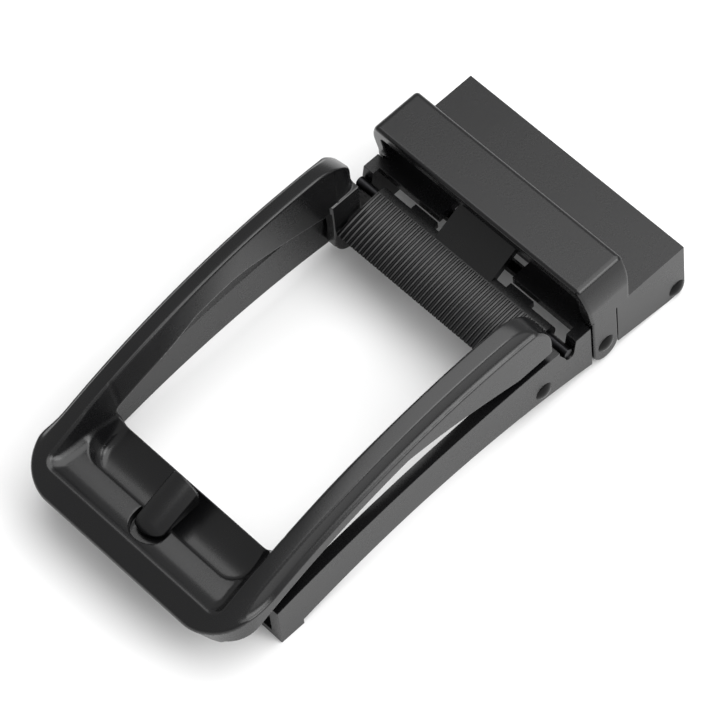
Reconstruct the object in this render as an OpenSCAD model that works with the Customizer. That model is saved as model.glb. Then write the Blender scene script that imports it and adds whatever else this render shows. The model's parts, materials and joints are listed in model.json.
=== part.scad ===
// Ratchet belt buckle for a 35 mm strap, in millimetres.
// The buckle lies face up on the plane z = 0. X runs along the strap: the front bar, where the
// strap's free tail goes in, is at -X and the clamp for the strap's fixed end is at +X.
// Y runs across the strap, and everything is the same on both sides of y = 0.
// Lengths along the strap are stated as distances forward of the clamp's rear edge.

/* [Strap] */
// Width of the strap that the buckle takes
strap_w = 35; // [20:0.5:45]
// Thickness of the strap
strap_t = 3.6; // [3:0.1:4.4]
// Side clearance between the strap and each wall
strap_gap = 0.7; // [0.3:0.1:1.5]

/* [Base frame] */
// Thickness of the cheeks and of the clamp's side walls
wall_t = 1.8; // [1.4:0.1:3]
// Height of the deck's top above the plane that the buckle lies on
deck_h = 10; // [9:0.1:12]
// Thickness of the deck
deck_t = 1.4; // [1:0.1:2]
// Length of the clamp from its rear edge to the loop's legs
clamp_l = 12.6; // [11.5:0.1:16]
// Length of the deck ahead of the loop's legs
deck_lip_l = 1.4; // [1:0.1:2.5]
// How much the clamp walls' lower edge rises towards the legs
clamp_rise = 1.3; // [0.5:0.1:2]
// How far the cheeks' front ends stop short of the front bar's outer edge
cheek_setback = 9.9; // [8:0.1:10.5]
// Height of the cheeks' upper edge at its highest
cheek_top_h = 11; // [10.6:0.1:12]
// How far the upper edge falls at the cheeks' front ends
cheek_top_drop = 3.4; // [3:0.1:5]
// Distance of the upper edge's crown from the clamp's rear edge
cheek_crown_d = 36; // [32:0.5:40]
// Height of the arch under the cheeks
cheek_arch_h = 4; // [2:0.1:5]
// Width of the open slot in each cheek where the pawl's axle drops in
axle_slot_w = 3; // [2.4:0.1:3.4]
// Length along the strap of the cross bar under the front bar
cross_bar_l = 4; // [2.5:0.5:6]
// Thickness of the cross bar
cross_bar_t = 1.2; // [1:0.1:2]
// Length along the strap of the deck's cut for the tongue
tongue_cut_l = 5.5; // [5:0.1:6.5]
// Margin beside the tongue in the deck's cut
tongue_margin = 1.7; // [1:0.1:2.5]

/* [Keeper loop] */
// Height of the strap's passage under the loop, above the deck
loop_clear_h = 6.2; // [5:0.1:8]
// Thickness of the loop's top bar
loop_t = 2.4; // [1.6:0.1:3.5]
// Length of the top bar along the strap
loop_bar_l = 8.2; // [7:0.1:10]
// Length of the loop's foot on the deck behind the legs
loop_heel_l = 2.3; // [1.5:0.1:3]
// Width of each leg along the strap
leg_w = 4.4; // [4:0.1:5.2]
// Thickness of each leg where it lies in its notch
leg_t = 1.2; // [1:0.1:1.3]
// How far each leg stands proud of the side
leg_proud = 0.2; // [0.1:0.1:0.4]
// Height of the legs' rounded lower ends
leg_foot_h = 0.5; // [0.3:0.1:1]
// Gap on each side of a leg in its notch
leg_gap = 0.25; // [0.15:0.05:0.4]
// Radius that rounds the loop's upper corners
loop_corner_r = 2.4; // [1:0.1:3]

/* [Front frame] */
// Length of the window from the front bar to the arms' ends
window_l = 45.1; // [40:0.1:50]
// Width of the window at the front bar
window_front_w = 30.4; // [24:0.2:31]
// Width of the front bar along the strap
bar_w = 14.8; // [13:0.1:18]
// Radius of the frame's front corners, seen from above
corner_r = 7; // [4:0.5:9]
// Height of the arms' crown
crown_h = 22; // [20:0.1:24]
// Distance of the crown from the clamp's rear edge
crown_d = 34.5; // [31:0.5:36]
// Radius of the arch seen from the side
arch_r = 108; // [104:1:130]
// Depth of the arms and of the rim below the arched surface
rim_depth = 3.8; // [3:0.1:4.2]
// Width of the flat band along the arms and round the front bar
band_w = 3; // [2:0.1:3.2]
// Depth of the arms' underside below the crown, at the lugs
arm_root_depth = 9.8; // [8:0.1:10.4]
// Length over which the arms thicken towards the lugs
arm_taper_l = 30; // [20:1:34]
// How much the front bar's underside rises towards the window
bar_foot_rise = 1; // [0.5:0.1:2]
// Width of the ledge inside the rim, along the strap
ledge_w = 4.9; // [4:0.1:5.5]
// Depth of the ledge below the rim's inner edge
ledge_sink = 0.8; // [0.4:0.1:1]
// Length of the ledge's ends along the arms
ledge_end_l = 7.5; // [5:0.1:9]
// Radius of the trough's front corners, seen from above
trough_corner_r = 3.5; // [2:0.1:5]
// Thickness of the metal under the trough
trough_floor_t = 1.3; // [1:0.1:1.5]
// Depth of the window's front edge below the arched surface
sill_drop = 5.8; // [5.2:0.1:6.2]
// Width of each arm's sunken outer edge beside its band
flute_w = 1.3; // [0.8:0.1:2]
// Height of the steep step beside the band on each arm
flute_h = 1.4; // [0.8:0.1:1.8]
// How far the arms reach behind the hinge pin
arm_back = 2; // [1.5:0.1:2.2]
// Thickness of each lug
lug_t = 1.8; // [1.2:0.1:2.2]
// Radius of each lug round the hinge pin
lug_r = 3; // [2.4:0.1:3.2]

/* [Prong] */
// Width of the prong
prong_w = 4.6; // [3:0.1:6]
// Distance of the prong's round tip's centre behind the front edge
prong_setback = 6.7; // [6:0.1:7]
// Length of the prong
prong_l = 9; // [8.6:0.1:9.4]
// Depth of the prong's top below the arched surface
prong_drop = 1.7; // [1.4:0.1:2.2]
// Width of the notch's margin round the prong's tip
prong_notch = 0.6; // [0.3:0.1:0.9]
// Depth of the notch in the ledge
prong_sink = 0.7; // [0.4:0.1:0.9]
// Diameter of the peg that fixes the prong
peg_dia = 1.6; // [1:0.1:2]
// Length of the peg
peg_l = 1.3; // [0.8:0.1:1.5]

/* [Pawl] */
// Distance of the pawl's axle ahead of the deck's front edge
axle_step = 2.5; // [2.3:0.1:2.9]
// Height of the pawl's axle
axle_h = 8.1; // [7.8:0.1:8.2]
// Diameter of the pawl's axle
axle_dia = 1.5; // [1.2:0.1:1.6]
// Radius of the barrel round the axle
barrel_r = 1.5; // [1.3:0.05:1.6]
// Radius of the apron's curved face
apron_r = 22; // [18:0.5:26]
// Angle that the apron sweeps down towards the front, in degrees
apron_sweep = 22; // [18:1:24]
// Thickness of the apron
apron_t = 0.9; // [0.7:0.05:1]
// Width of the tongue
tongue_w = 10.4; // [6:0.1:14]
// Thickness of the tongue
tongue_t = 1.3; // [1:0.1:1.6]
// Length of the tongue behind the axle
tongue_l = 6; // [5:0.1:6.2]
// Height of the tongue's tip above the deck
tongue_rise = 2.8; // [2:0.1:3.4]
// Width of each smooth pad beside the tongue
pad_w = 4.2; // [2:0.1:5]

/* [Strap jaw] */
// Length of the jaw flap ahead of its pin
jaw_l = 10.9; // [8:0.1:11.1]
// Thickness of the jaw flap
jaw_t = 1.3; // [1:0.1:1.6]
// Radius of the jaw's barrel round its pin
jaw_barrel_r = 1.35; // [1.2:0.05:1.4]
// Number of teeth on the jaw
jaw_teeth = 9; // [5:1:11]
// Width of each tooth
tooth_w = 1.6; // [1:0.1:2.2]
// Length of each tooth's foot along the strap
tooth_l = 3.8; // [3:0.1:4.5]
// Distance of the teeth ahead of the jaw's pin
tooth_setback = 3.2; // [3:0.1:4]
// How deep the teeth's tips bite into the strap
tooth_bite = 0.5; // [0.2:0.1:0.8]

/* [Pins] */
// Diameter of the keeper pin
keeper_pin_dia = 2; // [1.5:0.1:2.4]
// Diameter of the front frame's hinge pin
frame_pin_dia = 1.8; // [1.4:0.1:1.8]
// Diameter of the jaw's hinge pin
jaw_pin_dia = 1.6; // [1.2:0.1:1.7]
// Diameter of the pins' domed heads
head_dia = 2.9; // [2.4:0.1:2.9]
// Height of the domed heads
head_h = 0.5; // [0.3:0.1:0.8]
// Height of the keeper pin
keeper_pin_h = 3.7; // [3:0.1:4.5]
// Distance of the frame's hinge pin ahead of the pawl's axle
hinge_step = 5; // [4.6:0.1:5.4]
// Height of the frame's hinge pin
frame_pin_h = 4.9; // [4.6:0.1:5]
// Distance of the jaw's pin from the clamp's rear edge, and from the plane
jaw_pin_d = 1.5; // [1.45:0.05:2]

/* [Hidden] */
$fn = 96;

// Radial clearance of each pin in its holes
pin_fit = 0.05;
// Side clearance of a moving piece beside a fixed one
side_gap = 0.3;
// How far the flute's steep step leans outwards
flute_run = 0.4;
// How far the round of an arm's rear end starts above the arched surface
end_lift = 0.1;
// Gap between the prong and the window's sill
prong_gap = 0.1;
// How far the apron's centre lies behind the hinge pin, to clear it
apron_setback = 5.2;
// Radius of the ledge's front corners, seen from above
ledge_corner_r = 1.5;
// How far the ledge reaches past the window on each side
ledge_margin = 0.3;
// Overlap that makes a cut run through a face
cut = 1;

// Widths across the strap
in_w = strap_w + 2 * strap_gap;
out_w = in_w + 2 * wall_t;
lug_in_w = in_w - 2 * side_gap - 2 * lug_t;
pawl_w = lug_in_w - 2 * side_gap;
jaw_w = in_w - 2 * side_gap;
sunk_w = in_w - 4 * side_gap;

// Distances forward of the clamp's rear edge
notch_w = leg_w + 2 * leg_gap;
leg_d = clamp_l + notch_w / 2;
notch_end_d = clamp_l + notch_w;
deck_l = notch_end_d + deck_lip_l;
axle_d = deck_l + axle_step;
frame_pin_d = axle_d + hinge_step;
arm_end_d = frame_pin_d - arm_back;
window_d = arm_end_d + window_l;
total_l = window_d + bar_w;
cheek_end_d = total_l - cheek_setback;
rim_in_d = total_l - band_w;
lip_d = rim_in_d - ledge_w;

// Place along X of a distance forward of the clamp's rear edge
function st(d) = total_l / 2 - d;

// Height of the front frame's arched surface
function arch_z(d) = crown_h - arch_r + sqrt(arch_r * arch_r - (d - crown_d) * (d - crown_d));

// Height of the front bar's underside
bar_foot_h = arch_z(total_l) - rim_depth;
function bar_under_z(d) = bar_foot_h + bar_foot_rise * (total_l - d) / bar_w;

ledge_z = arch_z(rim_in_d) - ledge_sink;
ledge_half_w = window_front_w / 2 + ledge_margin;
prong_tip_d = total_l - prong_setback;
notch_floor_z = ledge_z - prong_sink;
sill_z = arch_z(window_d) - sill_drop;
pad_inner_y = tongue_w / 2 + tongue_margin;

// Draws a side view, X and Z, and makes it a slab from y0 to y1
module slab(y0, y1) {
    translate([0, y1, 0])
        rotate([90, 0, 0])
            linear_extrude(y1 - y0)
                children();
}

// The same slab on both sides of the middle
module both_slabs(y0, y1) {
    slab(y0, y1) children();
    slab(-y1, -y0) children();
}

// A round bar or bore across the buckle
module cross_bar_round(d, z, dia, length) {
    translate([st(d), length / 2, z])
        rotate([90, 0, 0])
            cylinder(d = dia, h = length);
}

// What is cut away to round a corner, seen from its centre in the direction (sx, sy)
module corner_off(r, sx, sy) {
    far = r + cut;
    difference() {
        polygon([[0, 0], [sx * far, 0], [sx * far, sy * far], [0, sy * far]]);
        circle(r);
    }
}

// Side view of a cheek with the clamp's side wall behind it
module side_view() {
    top_run = cheek_end_d - cheek_crown_d;
    top_r = (top_run * top_run + cheek_top_drop * cheek_top_drop) / (2 * cheek_top_drop);
    arch_run = (cheek_end_d - clamp_l) / 2;
    arch_under_r = (arch_run * arch_run + cheek_arch_h * cheek_arch_h) / (2 * cheek_arch_h);
    slot_front_d = axle_d + axle_slot_w * 0.6;
    slot_rear_d = slot_front_d - axle_slot_w;
    slot_r = axle_dia / 2 + pin_fit;
    difference() {
        union() {
            polygon([
                [st(0), 0], [st(0), deck_h], [st(axle_d), deck_h], [st(axle_d), 0]
            ]);
            intersection() {
                polygon([
                    [st(axle_d), 0], [st(axle_d), 2 * deck_h],
                    [st(cheek_end_d), 2 * deck_h], [st(cheek_end_d), 0]
                ]);
                translate([st(cheek_crown_d), cheek_top_h - top_r])
                    circle(top_r);
            }
        }
        // The arch under the cheek
        translate([st((cheek_end_d + clamp_l) / 2), cheek_arch_h - arch_under_r])
            circle(arch_under_r);
        // The clamp's lower edge rises towards the legs
        polygon([
            [st(2 * jaw_pin_d), 0], [st(clamp_l), clamp_rise],
            [st(notch_end_d), clamp_rise], [st(notch_end_d), -cut], [st(2 * jaw_pin_d), -cut]
        ]);
        // The open slot for the pawl's axle
        polygon([
            [st(slot_rear_d), cheek_top_h + cut], [st(slot_rear_d), deck_h],
            [st(axle_d - slot_r), axle_h], [st(axle_d + slot_r), axle_h],
            [st(slot_front_d), deck_h], [st(slot_front_d), cheek_top_h + cut]
        ]);
        translate([st(axle_d), axle_h])
            circle(slot_r);
        // The rear lower corner is round, about the jaw's pin
        translate([st(jaw_pin_d), jaw_pin_d])
            corner_off(jaw_pin_d, 1, -1);
    }
}

// Casting of the cheeks, the clamp's walls, the deck and the low cross bar
module base_frame() {
    color("#2b2b2d")
        difference() {
            union() {
                both_slabs(in_w / 2, out_w / 2) side_view();
                translate([st(deck_l), -out_w / 2, deck_h - deck_t])
                    cube([deck_l, out_w, deck_t]);
                translate([st(cheek_end_d), -out_w / 2, 0])
                    cube([cross_bar_l, out_w, cross_bar_t]);
            }
            // Notches for the loop's legs
            notch_y = out_w / 2 + leg_proud - leg_t - pin_fit;
            both_slabs(notch_y, out_w)
                translate([st(notch_end_d), -cut])
                    square([notch_w, deck_h + 2 * cut]);
            // Cut in the deck that the tongue rises through
            translate([st(deck_l + cut), -pad_inner_y, deck_h - deck_t - cut])
                cube([tongue_cut_l + cut, 2 * pad_inner_y, deck_t + 2 * cut]);
            cross_bar_round(leg_d, keeper_pin_h, keeper_pin_dia + 2 * pin_fit, 2 * out_w);
            cross_bar_round(frame_pin_d, frame_pin_h, frame_pin_dia + 2 * pin_fit, 2 * out_w);
            cross_bar_round(jaw_pin_d, jaw_pin_d, jaw_pin_dia + 2 * pin_fit, 2 * out_w);
        }
}

// Side view of the keeper loop above the deck
module loop_side() {
    heel_d = clamp_l - loop_heel_l;
    brow_d = heel_d + loop_bar_l;
    loop_top = deck_h + loop_clear_h + loop_t;
    bevel = loop_t * 0.4;
    polygon([
        [st(heel_d), deck_h], [st(heel_d), loop_top - bevel], [st(heel_d + bevel), loop_top],
        [st(brow_d - bevel / 2), loop_top], [st(brow_d), loop_top - bevel / 2],
        [st(notch_end_d - leg_gap), deck_h]
    ]);
}

// View of the loop along the strap, with the strap's passage cut out
module loop_end_view() {
    outer_y = out_w / 2 + leg_proud;
    loop_top = deck_h + loop_clear_h + loop_t;
    difference() {
        translate([-outer_y, 0])
            square([2 * outer_y, loop_top]);
        for (side = [-1, 1])
            translate([side * (outer_y - loop_corner_r), loop_top - loop_corner_r])
                corner_off(loop_corner_r, side, 1);
        translate([-in_w / 2, -cut])
            square([in_w, deck_h + loop_clear_h + cut]);
    }
}

// Raised loop that keeps the strap's free tail down on the deck
module keeper_loop() {
    leg_outer_y = out_w / 2 + leg_proud;
    foot_z = leg_foot_h + leg_w / 2;
    color("#303032")
        difference() {
            union() {
                intersection() {
                    slab(-leg_outer_y, leg_outer_y) loop_side();
                    translate([st(total_l), 0, 0])
                        rotate([90, 0, 90])
                            linear_extrude(total_l)
                                loop_end_view();
                }
                both_slabs(leg_outer_y - leg_t, leg_outer_y)
                    union() {
                        translate([st(leg_d + leg_w / 2), foot_z])
                            square([leg_w, deck_h - foot_z + cut / 4]);
                        translate([st(leg_d), foot_z])
                            circle(leg_w / 2);
                    }
            }
            cross_bar_round(leg_d, keeper_pin_h, keeper_pin_dia + 2 * pin_fit, 2 * out_w);
        }
}

// Outline of the front frame seen from above, with round front corners
module frame_plan() {
    difference() {
        translate([st(total_l), -out_w / 2])
            square([window_l + bar_w, out_w]);
        for (side = [-1, 1])
            translate([st(total_l - corner_r), side * (out_w / 2 - corner_r)])
                corner_off(corner_r, -1, side);
    }
}

// A pocket seen from above, from front_d back to rear_d, with its front corners rounded
module pocket_plan(front_d, rear_d, half_w, r) {
    difference() {
        translate([st(front_d), -half_w])
            square([front_d - rear_d, 2 * half_w]);
        for (side = [-1, 1])
            translate([st(front_d - r), side * (half_w - r)])
                corner_off(r, -1, side);
    }
}

// The window seen from above, widening towards the arms' ends
module window_plan() {
    rear_half = lug_in_w / 2;
    front_half = window_front_w / 2;
    polygon([
        [st(window_d), -front_half], [st(window_d), front_half],
        [st(arm_end_d), rear_half], [st(arm_end_d - cut), rear_half],
        [st(arm_end_d - cut), -rear_half], [st(arm_end_d), -rear_half]
    ]);
}

// Round solid across the buckle, under the arched surface by a depth
module arch_barrel(depth) {
    translate([st(crown_d), out_w, crown_h - arch_r])
        rotate([90, 0, 0])
            cylinder(r = arch_r - depth, h = 2 * out_w, $fn = 200);
}

// Side view of an arm's root, deep at the lugs and thinning forwards
module arm_root_view() {
    steps = 8;
    root_z = crown_h - arm_root_depth;
    flat_l = 2 * lug_r;
    far_d = arm_end_d + arm_taper_l;
    rise = arch_z(far_d) - rim_depth - root_z;
    under = [for (i = [0:steps]) [
        st(arm_end_d + flat_l + (arm_taper_l - flat_l) * i / steps),
        root_z + rise * sin(90 * i / steps)
    ]];
    polygon(concat(
        [[st(arm_end_d), crown_h + cut], [st(arm_end_d), root_z]], under,
        [[st(far_d), crown_h + cut]]
    ));
}

// Side view of a lug: a round eye on the hinge pin that reaches up into the arm
module lug_view() {
    translate([st(frame_pin_d), frame_pin_h])
        circle(lug_r);
    translate([st(frame_pin_d + lug_r), frame_pin_h])
        square([lug_r + arm_back, crown_h - arm_root_depth + lug_t - frame_pin_h]);
}

// Side view of the front bar's sunken body, under the ledge and the trough
module bar_view() {
    polygon([
        [st(total_l), bar_foot_h], [st(window_d), bar_under_z(window_d)],
        [st(window_d), crown_h], [st(total_l), crown_h]
    ]);
}

// Side view of the hollow over the trough, which rises to the window's sill
module trough_view() {
    sill_run = (lip_d - window_d) * 0.8;
    bottom_d = window_d + sill_run;
    bottom_z = bar_under_z(bottom_d) + trough_floor_t;
    sill_up = sill_z - bottom_z;
    hollow_r = (sill_run * sill_run + sill_up * sill_up) / (2 * sill_up);
    translate([st(bottom_d), bottom_z + hollow_r])
        circle(hollow_r);
}

// Section of what is cut away outside an arm's band: a steep step and a flared face
module flute_section() {
    band_y = out_w / 2 - flute_w;
    step_y = band_y + flute_run;
    foot_h = flute_h + 2 * flute_run;
    polygon([
        [arch_r + cut, band_y], [arch_r, band_y], [arch_r - flute_h, step_y],
        [arch_r - foot_h, out_w / 2], [arch_r - foot_h, out_w], [arch_r + cut, out_w]
    ]);
}

// The flutes along both arms, from behind the arms' ends to the cheeks' front ends
module flutes() {
    front_angle = asin((cheek_end_d - crown_d) / arch_r);
    rear_angle = asin((crown_d - arm_end_d + cut) / arch_r);
    translate([st(crown_d), 0, crown_h - arch_r])
        for (side = [0, 1])
            mirror([0, side, 0])
                rotate([90, 0, 0])
                    rotate([0, 0, 90 - rear_angle])
                        rotate_extrude(angle = rear_angle + front_angle, $fn = 200)
                            flute_section();
}

// Arched frame with two arms, a wide front bar with its ledge and trough, and two hinge lugs
module front_frame() {
    end_r = lug_r;
    color("#323234")
        difference() {
            union() {
                intersection() {
                    linear_extrude(crown_h + cut) frame_plan();
                    difference() {
                        arch_barrel(0);
                        arch_barrel(rim_depth);
                    }
                }
                intersection() {
                    union() {
                        both_slabs(lug_in_w / 2, out_w / 2) arm_root_view();
                        slab(-sunk_w / 2, sunk_w / 2) bar_view();
                    }
                    linear_extrude(crown_h + cut) frame_plan();
                    arch_barrel(0);
                }
                both_slabs(lug_in_w / 2, lug_in_w / 2 + lug_t) lug_view();
            }
            translate([0, 0, -cut])
                linear_extrude(crown_h + 2 * cut)
                    window_plan();
            translate([0, 0, ledge_z])
                linear_extrude(crown_h)
                    pocket_plan(rim_in_d, rim_in_d - ledge_end_l, ledge_half_w, ledge_corner_r);
            intersection() {
                slab(-out_w, out_w) trough_view();
                linear_extrude(crown_h + cut)
                    pocket_plan(lip_d, window_d - cut, ledge_half_w - cut, trough_corner_r);
            }
            flutes();
            // The arms' rear ends are round at the top
            slab(-out_w, out_w)
                translate([st(arm_end_d + end_r), arch_z(arm_end_d + end_r) - end_r + end_lift])
                    corner_off(end_r, 1, 1);
            cross_bar_round(frame_pin_d, frame_pin_h, frame_pin_dia + 2 * pin_fit, out_w);
            // Notch and peg hole for the prong
            translate([st(prong_tip_d), 0, notch_floor_z])
                cylinder(r = prong_w / 2 + prong_notch, h = crown_h);
            translate([st(prong_tip_d), 0, notch_floor_z - peg_l - pin_fit])
                cylinder(d = peg_dia + 2 * pin_fit, h = crown_h);
        }
}

// Short thick prong that stands on the ledge and reaches back over the trough
module prong() {
    rear_d = prong_tip_d + prong_w / 2 - prong_l;
    color("#3a3a3c") {
        intersection() {
            union() {
                translate([st(prong_tip_d), 0, 0])
                    cylinder(d = prong_w, h = crown_h);
                translate([st(prong_tip_d), -prong_w / 2, 0])
                    cube([prong_tip_d - rear_d, prong_w, crown_h]);
            }
            slab(-prong_w, prong_w)
                polygon([
                    [st(total_l), notch_floor_z], [st(lip_d + prong_gap), notch_floor_z],
                    [st(window_d), sill_z + prong_gap], [st(window_d - prong_l), sill_z + prong_gap],
                    [st(window_d - prong_l), crown_h], [st(total_l), crown_h]
                ]);
            arch_barrel(prong_drop);
        }
        translate([st(prong_tip_d), 0, notch_floor_z - peg_l])
            cylinder(d = peg_dia, h = peg_l + cut);
    }
}

// Side view of the pawl's curved apron, in front of its barrel
module apron_view() {
    overlap = 2;
    far = 2 * apron_r;
    intersection() {
        difference() {
            circle(apron_r);
            circle(apron_r - apron_t);
        }
        polygon([
            [0, 0], [far * sin(overlap), far * cos(overlap)], [-far, far],
            [-far * sin(apron_sweep), far * cos(apron_sweep)]
        ]);
    }
}

// Sprung pawl: a barrel on the axle, a curved apron ahead and a ramp tongue behind
module pawl() {
    tip_z = deck_h + tongue_rise;
    tip_d = axle_d - tongue_l;
    barrel_top = axle_h + barrel_r;
    pad_rear_d = deck_l + side_gap;
    color("#1f1f21")
        difference() {
            union() {
                cross_bar_round(axle_d, axle_h, 2 * barrel_r, pawl_w);
                slab(-pawl_w / 2, pawl_w / 2)
                    translate([st(frame_pin_d - apron_setback), barrel_top - apron_r])
                        apron_view();
                slab(-tongue_w / 2, tongue_w / 2)
                    polygon([
                        [st(tip_d), tip_z], [st(tip_d), tip_z - tongue_t],
                        [st(axle_d), barrel_top - tongue_t], [st(axle_d), barrel_top]
                    ]);
                both_slabs(pad_inner_y, pad_inner_y + pad_w)
                    translate([st(axle_d), axle_h - axle_dia / 4])
                        square([axle_d - pad_rear_d, barrel_r * 0.8]);
            }
            cross_bar_round(axle_d, axle_h, axle_dia + 2 * pin_fit, out_w);
        }
}

// Plain axle that the pawl rocks on, lying in the cheeks' slots
module pawl_axle() {
    color("#8a8a8c")
        cross_bar_round(axle_d, axle_h, axle_dia, out_w - 2 * side_gap);
}

// Flap with teeth that grips the strap's fixed end under the deck
module strap_jaw() {
    flap_top = jaw_pin_d + jaw_barrel_r;
    tooth_z = deck_h - deck_t - strap_t + tooth_bite;
    tooth_d = jaw_pin_d + tooth_setback;
    pitch = (jaw_w - tooth_w) / (jaw_teeth - 1);
    color("#3a3a3c")
        difference() {
            union() {
                cross_bar_round(jaw_pin_d, jaw_pin_d, 2 * jaw_barrel_r, jaw_w);
                slab(-jaw_w / 2, jaw_w / 2)
                    translate([st(jaw_pin_d + jaw_l), flap_top - jaw_t])
                        square([jaw_l, jaw_t]);
                for (i = [0:jaw_teeth - 1])
                    slab(-jaw_w / 2 + pitch * i, -jaw_w / 2 + pitch * i + tooth_w)
                        polygon([
                            [st(tooth_d), flap_top - jaw_t / 4],
                            [st(tooth_d + tooth_l), flap_top - jaw_t / 4],
                            [st(tooth_d + tooth_l / 2), tooth_z]
                        ]);
            }
            cross_bar_round(jaw_pin_d, jaw_pin_d, jaw_pin_dia + 2 * pin_fit, out_w);
        }
}

// A pin across the buckle with a low domed head against each side
module headed_pin(d, z, dia, width) {
    dome_r = (head_dia * head_dia / 4 + head_h * head_h) / (2 * head_h);
    cross_bar_round(d, z, dia, width);
    for (side = [-1, 1])
        intersection() {
            translate([st(d), side * (width / 2 + head_h - dome_r), z])
                sphere(dome_r);
            translate([st(d), side * (width / 2 + head_h / 2), z])
                rotate([90, 0, 0])
                    cylinder(d = 2 * head_dia, h = head_h, center = true);
        }
}

// Pin through the loop's legs and the clamp's walls
module keeper_pin() {
    color("#4a4a4c")
        headed_pin(leg_d, keeper_pin_h, keeper_pin_dia, out_w + 2 * leg_proud);
}

// Hinge pin of the front frame
module frame_pin() {
    color("#4a4a4c")
        headed_pin(frame_pin_d, frame_pin_h, frame_pin_dia, out_w);
}

// Hinge pin of the strap jaw
module jaw_pin() {
    color("#4a4a4c")
        headed_pin(jaw_pin_d, jaw_pin_d, jaw_pin_dia, out_w);
}

base_frame();
keeper_loop();
front_frame();
prong();
pawl();
pawl_axle();
strap_jaw();
keeper_pin();
frame_pin();
jaw_pin();
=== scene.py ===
"""Dresses the ratchet belt buckle: sculpted castings, rounded plates, a ribbed pawl and a pale studio.

Lengths in the classes are millimetres. Along the strap they are distances forward of the clamp's
rear edge, as in the part's source, and a piece's mesh is turned into metres in the frame at the end.
"""

from __future__ import annotations

import json
import logging
import math
from dataclasses import dataclass
from enum import Enum
from typing import Callable

import bmesh
import bpy
import numpy as np
from mathutils import Matrix, Vector

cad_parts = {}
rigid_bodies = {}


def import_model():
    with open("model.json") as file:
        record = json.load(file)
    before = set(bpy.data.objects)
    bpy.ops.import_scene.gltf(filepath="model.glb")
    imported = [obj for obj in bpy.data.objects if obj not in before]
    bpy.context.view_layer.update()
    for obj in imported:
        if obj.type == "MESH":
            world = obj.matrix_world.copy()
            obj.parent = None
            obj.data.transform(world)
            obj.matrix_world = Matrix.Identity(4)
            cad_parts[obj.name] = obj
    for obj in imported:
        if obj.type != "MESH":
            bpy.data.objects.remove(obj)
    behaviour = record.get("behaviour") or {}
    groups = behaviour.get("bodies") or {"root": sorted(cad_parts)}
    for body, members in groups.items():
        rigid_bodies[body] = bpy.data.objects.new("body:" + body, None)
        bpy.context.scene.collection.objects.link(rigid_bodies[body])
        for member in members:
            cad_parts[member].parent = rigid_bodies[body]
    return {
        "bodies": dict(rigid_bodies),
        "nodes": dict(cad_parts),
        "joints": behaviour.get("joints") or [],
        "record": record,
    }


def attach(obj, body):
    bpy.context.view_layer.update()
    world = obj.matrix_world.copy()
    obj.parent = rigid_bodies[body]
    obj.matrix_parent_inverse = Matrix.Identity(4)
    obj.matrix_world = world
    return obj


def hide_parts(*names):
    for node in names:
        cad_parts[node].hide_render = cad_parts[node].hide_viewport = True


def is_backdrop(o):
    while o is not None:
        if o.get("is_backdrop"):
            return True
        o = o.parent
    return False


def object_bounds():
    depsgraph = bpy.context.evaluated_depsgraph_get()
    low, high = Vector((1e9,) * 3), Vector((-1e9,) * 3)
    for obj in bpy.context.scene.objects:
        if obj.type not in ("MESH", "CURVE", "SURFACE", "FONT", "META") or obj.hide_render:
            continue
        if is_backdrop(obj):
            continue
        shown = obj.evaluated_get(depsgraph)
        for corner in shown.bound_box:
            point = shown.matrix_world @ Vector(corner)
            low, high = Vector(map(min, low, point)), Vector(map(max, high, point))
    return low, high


LOG = logging.getLogger("buckle")
MM = 0.001
Color = tuple[float, float, float]
Field = Callable[[np.ndarray, np.ndarray, np.ndarray], np.ndarray]


class Body(Enum):
    """The rigid bodies that the pieces ride on."""

    BASE = "base"
    FRONT = "front"
    PAWL = "pawl"
    JAW = "jaw"


class Slot(Enum):
    """The record's material slots."""

    CASTING = "black_casting"
    BLACK_STEEL = "black_steel"
    WIRE = "bright_steel"


# Shader building


@dataclass
class Sock:
    """A shader socket that can be used in a Python expression."""

    tree: bpy.types.NodeTree
    socket: bpy.types.NodeSocket

    def _math(self, operation: str, first: Sock | float, second: Sock | float) -> Sock:
        """Adds one Math node.

        Args:
            operation: The node's operation.
            first: A Sock or a number.
            second: A Sock or a number.

        Returns:
            The node's result.
        """
        node = self.tree.nodes.new("ShaderNodeMath")
        node.operation = operation
        for place, value in enumerate((first, second)):
            if isinstance(value, Sock):
                self.tree.links.new(value.socket, node.inputs[place])
            else:
                node.inputs[place].default_value = float(value)
        return Sock(self.tree, node.outputs[0])

    def __add__(self, other: Sock | float) -> Sock:
        """Adds a socket or a number."""
        return self._math("ADD", self, other)

    def __sub__(self, other: Sock | float) -> Sock:
        """Takes a socket or a number away."""
        return self._math("SUBTRACT", self, other)

    def __rsub__(self, other: Sock | float) -> Sock:
        """Takes the socket away from a number."""
        return self._math("SUBTRACT", other, self)

    def __mul__(self, other: Sock | float) -> Sock:
        """Multiplies by a socket or a number."""
        return self._math("MULTIPLY", self, other)

    __radd__ = __add__
    __rmul__ = __mul__


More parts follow.
